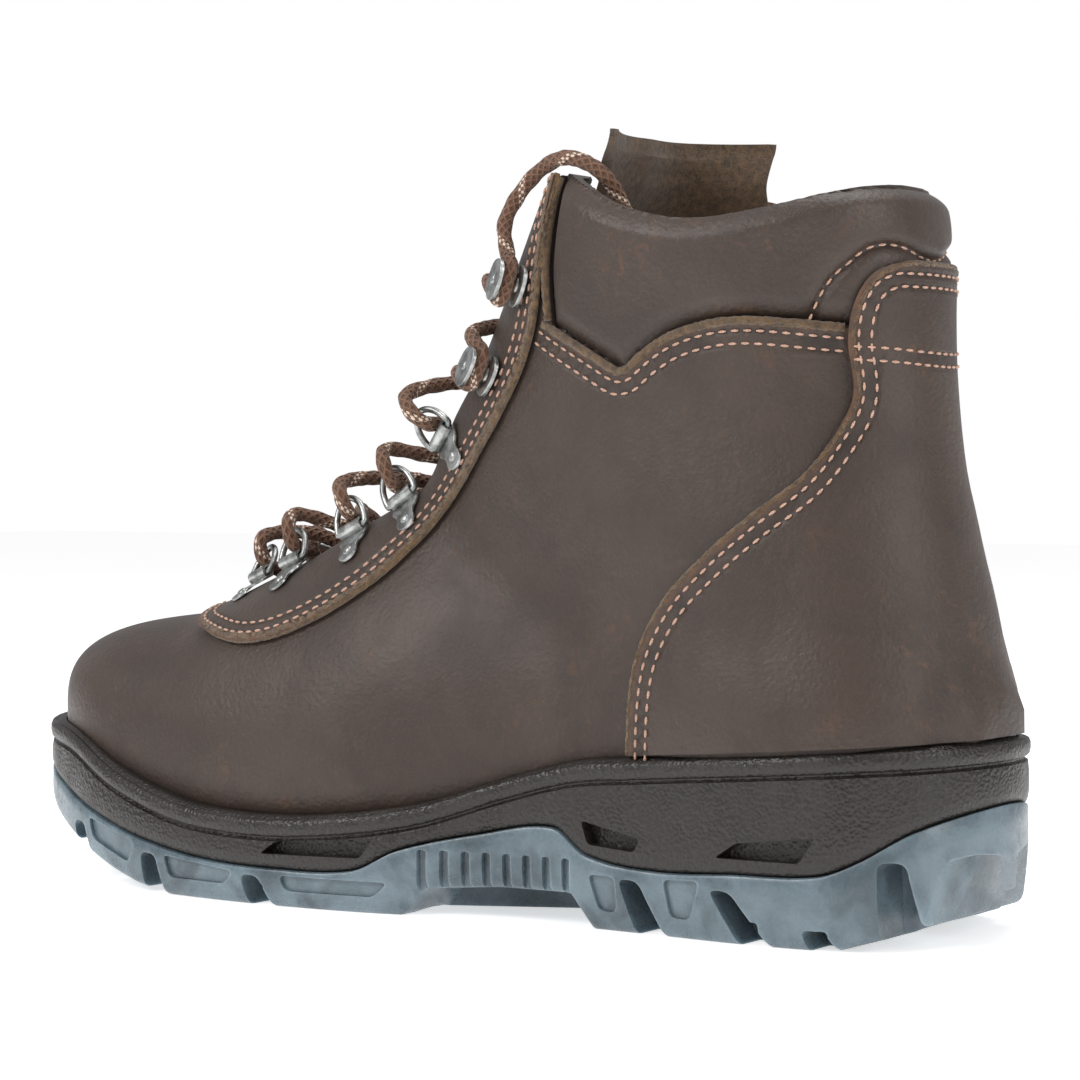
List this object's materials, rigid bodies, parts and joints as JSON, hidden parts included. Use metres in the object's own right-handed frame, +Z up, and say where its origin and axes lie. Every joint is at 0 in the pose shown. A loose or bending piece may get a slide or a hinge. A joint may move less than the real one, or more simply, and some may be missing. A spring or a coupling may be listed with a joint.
{
  "type": "work boot",
  "caption": "Lace-up ankle work boot for the left foot, with an inner steel toe cap, padded collar, swinging lace rings, speed hooks and a lugged two-layer sole.",
  "frame": {"origin": "on the ground, under the middle of the sole", "axes": "+Z up, -Y to the toe, +Y to the heel, +X to the outer side of the left foot"},
  "size_m": [0.1124, 0.3097, 0.2049],
  "materials": {
    "outsole": "satin, slightly translucent moulded lugs",
    "midsole": "matt, fine stippled polyurethane",
    "shank": "plain",
    "board": "fibre board",
    "toe_steel": "plain, inside the upper",
    "foam": "open foam",
    "lining_fabric": "matt mesh",
    "footbed": "matt, on moulded foam",
    "upper_leather": "oiled nubuck, satin, with rubbed edges",
    "collar_leather": "oiled nubuck over padding",
    "tongue_leather": "smooth outside, brown suede inside",
    "lace": "round braid, brown with pale flecks",
    "aglet": "clear wrap over the braid",
    "hardware": "nickel plate, satin"
  },
  "bodies": {
    "boot": {"outsole": "outsole", "midsole": "midsole", "shank": "shank", "insole_board": "board", "heel_stiffener": "board", "steel_toe_cap": "toe_steel", "quarter_padding": "foam", "lining": "lining_fabric", "footbed": "footbed", "vamp_and_quarters": "upper_leather", "facing": "upper_leather", "heel_counter_panel": "upper_leather", "collar": "collar_leather", "lace": "lace", "aglet_outer": "aglet", "aglet_inner": "aglet", "ring_clip_outer_1": "hardware", "ring_clip_outer_2": "hardware", "ring_clip_outer_3": "hardware", "ring_clip_outer_4": "hardware", "ring_clip_outer_5": "hardware", "ring_clip_inner_1": "hardware", "ring_clip_inner_2": "hardware", "ring_clip_inner_3": "hardware", "ring_clip_inner_4": "hardware", "ring_clip_inner_5": "hardware", "speed_hook_outer_6": "hardware", "speed_hook_outer_7": "hardware", "speed_hook_inner_6": "hardware", "speed_hook_inner_7": "hardware"},
    "tongue": {"tongue": "tongue_leather"},
    "ring_outer_1": {"lace_ring_outer_1": "hardware"},
    "ring_inner_1": {"lace_ring_inner_1": "hardware"},
    "ring_outer_2": {"lace_ring_outer_2": "hardware"},
    "ring_inner_2": {"lace_ring_inner_2": "hardware"},
    "ring_outer_3": {"lace_ring_outer_3": "hardware"},
    "ring_inner_3": {"lace_ring_inner_3": "hardware"},
    "ring_outer_4": {"lace_ring_outer_4": "hardware"},
    "ring_inner_4": {"lace_ring_inner_4": "hardware"},
    "ring_outer_5": {"lace_ring_outer_5": "hardware"},
    "ring_inner_5": {"lace_ring_inner_5": "hardware"}
  },
  "joints": [
    {"name": "tongue_lean", "type": "hinge", "parent": "boot", "child": "tongue", "pos_m": [0, -0.075, 0.07], "axis": [1, 0, 0], "range_deg": [-1, 0]},
    {"name": "ring_swing_outer_1", "type": "hinge", "parent": "boot", "child": "ring_outer_1", "pos_m": [0.01584, -0.0709, 0.08682], "axis": [0.268, 0.9102, 0.3159], "range_deg": [-15, 5]},
    {"name": "ring_swing_inner_1", "type": "hinge", "parent": "boot", "child": "ring_inner_1", "pos_m": [-0.01584, -0.07089, 0.08686], "axis": [-0.2668, 0.9122, 0.3109], "range_deg": [-5, 15]},
    {"name": "ring_swing_outer_2", "type": "hinge", "parent": "boot", "child": "ring_outer_2", "pos_m": [0.02057, -0.05551, 0.09138], "axis": [0.1352, 0.9327, 0.3343], "range_deg": [-15, 5]},
    {"name": "ring_swing_inner_2", "type": "hinge", "parent": "boot", "child": "ring_inner_2", "pos_m": [-0.02057, -0.05551, 0.09138], "axis": [-0.1353, 0.9327, 0.3342], "range_deg": [-5, 15]},
    {"name": "ring_swing_outer_3", "type": "hinge", "parent": "boot", "child": "ring_outer_3", "pos_m": [0.02237, -0.03289, 0.10038], "axis": [-0.0288, 0.8943, 0.4465], "range_deg": [-15, 5]},
    {"name": "ring_swing_inner_3", "type": "hinge", "parent": "boot", "child": "ring_inner_3", "pos_m": [-0.02237, -0.03289, 0.10038], "axis": [0.0288, 0.8943, 0.4465], "range_deg": [-5, 15]},
    {"name": "ring_swing_outer_4", "type": "hinge", "parent": "boot", "child": "ring_outer_4", "pos_m": [0.01969, -0.01778, 0.10897], "axis": [-0.0967, 0.8062, 0.5837], "range_deg": [-15, 5]},
    {"name": "ring_swing_inner_4", "type": "hinge", "parent": "boot", "child": "ring_inner_4", "pos_m": [-0.01969, -0.01778, 0.10897], "axis": [0.0967, 0.8062, 0.5837], "range_deg": [-5, 15]},
    {"name": "ring_swing_outer_5", "type": "hinge", "parent": "boot", "child": "ring_outer_5", "pos_m": [0.02217, -0.00263, 0.12556], "axis": [0.166, 0.6275, 0.7607], "range_deg": [-15, 5]},
    {"name": "ring_swing_inner_5", "type": "hinge", "parent": "boot", "child": "ring_inner_5", "pos_m": [-0.02217, -0.00263, 0.12556], "axis": [-0.166, 0.6275, 0.7607], "range_deg": [-5, 15]}
  ]
}
